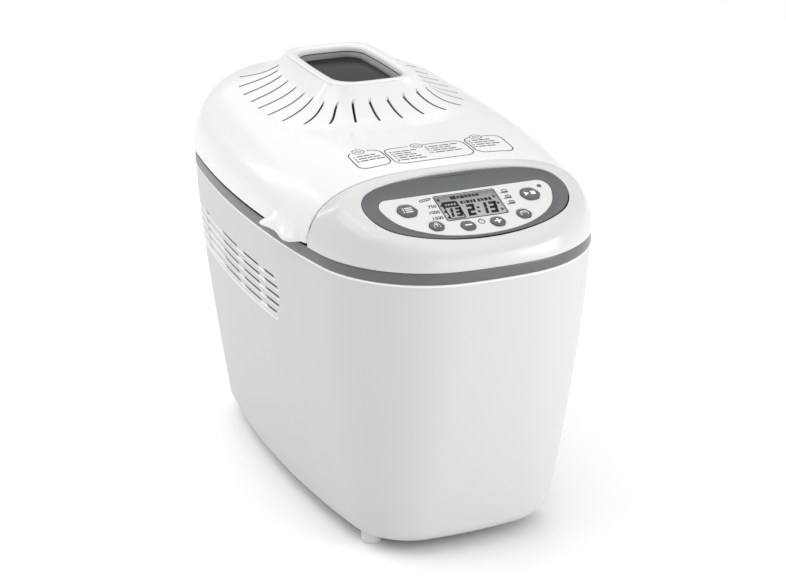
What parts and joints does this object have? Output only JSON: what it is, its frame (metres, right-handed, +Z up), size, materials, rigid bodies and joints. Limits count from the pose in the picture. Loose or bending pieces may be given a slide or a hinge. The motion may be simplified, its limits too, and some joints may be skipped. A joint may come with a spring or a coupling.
{
  "type": "bread machine",
  "caption": "Long free-standing bread machine with a hinged windowed lid, control panel at one end and a lift-out loaf pan with kneading paddles.",
  "frame": {"origin": "middle of the overall footprint, on the surface the feet stand on", "axes": "+Z up; -Y is the control end, +Y the hinge end; X across the width"},
  "size_m": [0.262, 0.414, 0.321],
  "materials": {
    "white_shell": "satin",
    "fascia_white": "matte",
    "grey_trim": "satin",
    "window_trim": "satin",
    "key_grey": "satin",
    "glass": "clear",
    "lcd": "matte",
    "indicator": "gloss",
    "board": "matte",
    "black_plastic": "matte",
    "foot_grey": "matte",
    "rubber": "matte",
    "steel": "brushed",
    "sheet_metal": "satin",
    "liner": "satin",
    "nonstick": "satin coated",
    "brass": "satin",
    "element": "dull",
    "ceramic": "glazed",
    "motor_steel": "dull"
  },
  "bodies": {
    "base": {"body_housing": "white_shell", "base_plate": "black_plastic", "rubber_feet": "foot_grey", "base_screws": "steel", "cord_gland": "black_plastic", "trim_band": "grey_trim", "top_deck": "sheet_metal", "baking_chamber": "sheet_metal", "chamber_spacers": "steel", "heating_element": "element", "element_insulators": "ceramic", "element_clips": "steel", "temperature_probe": "steel", "pan_seat": "sheet_metal", "chassis_plate": "sheet_metal", "shaft_bearings": "steel", "drive_belt": "rubber", "link_belt": "rubber", "motor_stator": "motor_steel", "motor_mounts": "rubber", "run_capacitor": "black_plastic", "power_board": "board", "control_housing": "white_shell", "panel_bezel": "grey_trim", "panel_fascia": "fascia_white", "lcd_window": "glass", "lcd_module": "lcd", "status_light": "indicator", "control_board": "board", "key_switches": "black_plastic", "board_screws": "steel", "hinge_bracket": "black_plastic"},
    "lid": {"lid_shell": "white_shell", "lid_liner": "liner", "lid_screws": "steel", "window_gasket": "rubber", "window_glass": "glass", "window_frame": "window_trim", "hinge_pins": "steel"},
    "pan": {"bread_pan": "nonstick", "pan_foot_ring": "nonstick", "pan_bushes": "brass"},
    "handle": {"pan_handle": "steel"},
    "kneader_front": {"pan_shaft_front": "steel", "kneading_paddle_front": "nonstick"},
    "kneader_rear": {"pan_shaft_rear": "steel", "kneading_paddle_rear": "nonstick"},
    "drive_front": {"drive_coupling_front": "steel", "driven_pulley_front": "black_plastic"},
    "drive_rear": {"drive_coupling_rear": "steel", "driven_pulley_rear": "black_plastic"},
    "motor": {"motor_rotor": "motor_steel", "motor_pulley": "black_plastic", "motor_fan": "black_plastic"},
    "menu_key": {"menu_button": "key_grey"},
    "start_stop_key": {"start_stop_button": "key_grey"},
    "weight_key": {"weight_button": "key_grey"},
    "crust_key": {"crust_button": "key_grey"},
    "minus_key": {"minus_button": "key_grey"},
    "plus_key": {"plus_button": "key_grey"}
  },
  "joints": [
    {"name": "lid_hinge", "type": "hinge", "parent": "base", "child": "lid", "pos_m": [0, 0.192, 0.258], "axis": [-1, 0, 0], "range_deg": [0, 90]},
    {"name": "pan_lift", "type": "slide", "parent": "base", "child": "pan", "axis": [0, 0, 1], "range_m": [0, 0.012]},
    {"name": "handle_swing", "type": "hinge", "parent": "pan", "child": "handle", "pos_m": [0, 0.037, 0.202], "axis": [0, -1, 0], "range_deg": [0, 180]},
    {"name": "kneader_front_spin", "type": "hinge", "parent": "pan", "child": "kneader_front", "pos_m": [0, -0.018, 0.084], "axis": [0, 0, 1], "continuous": true},
    {"name": "kneader_rear_spin", "type": "hinge", "parent": "pan", "child": "kneader_rear", "pos_m": [0, 0.092, 0.084], "axis": [0, 0, 1], "continuous": true},
    {"name": "drive_front_spin", "type": "hinge", "parent": "base", "child": "drive_front", "pos_m": [0, -0.018, 0.034], "axis": [0, 0, 1], "continuous": true},
    {"name": "drive_rear_spin", "type": "hinge", "parent": "base", "child": "drive_rear", "pos_m": [0, 0.092, 0.034], "axis": [0, 0, 1], "continuous": true},
    {"name": "motor_spin", "type": "hinge", "parent": "base", "child": "motor", "pos_m": [0, -0.144, 0.074], "axis": [0, 0, 1], "continuous": true},
    {"name": "menu_key_press", "type": "slide", "parent": "base", "child": "menu_key", "axis": [0, 0.3409, -0.9401], "range_m": [0, 0.001], "stiffness_N_per_m": 300, "springref_m": -0.0005},
    {"name": "start_stop_key_press", "type": "slide", "parent": "base", "child": "start_stop_key", "axis": [0, 0.3409, -0.9401], "range_m": [0, 0.001], "stiffness_N_per_m": 300, "springref_m": -0.0005},
    {"name": "weight_key_press", "type": "slide", "parent": "base", "child": "weight_key", "axis": [0, 0.3409, -0.9401], "range_m": [0, 0.001], "stiffness_N_per_m": 300, "springref_m": -0.0005},
    {"name": "crust_key_press", "type": "slide", "parent": "base", "child": "crust_key", "axis": [0, 0.3409, -0.9401], "range_m": [0, 0.001], "stiffness_N_per_m": 300, "springref_m": -0.0005},
    {"name": "minus_key_press", "type": "slide", "parent": "base", "child": "minus_key", "axis": [0, 0.3409, -0.9401], "range_m": [0, 0.001], "stiffness_N_per_m": 300, "springref_m": -0.0005},
    {"name": "plus_key_press", "type": "slide", "parent": "base", "child": "plus_key", "axis": [0, 0.3409, -0.9401], "range_m": [0, 0.001], "stiffness_N_per_m": 300, "springref_m": -0.0005}
  ],
  "couplings": [
    {"joint": "kneader_front_spin", "follows": "motor_spin", "ratio": 0.225},
    {"joint": "kneader_rear_spin", "follows": "motor_spin", "ratio": 0.225},
    {"joint": "drive_front_spin", "follows": "motor_spin", "ratio": 0.225},
    {"joint": "drive_rear_spin", "follows": "motor_spin", "ratio": 0.225}
  ]
}
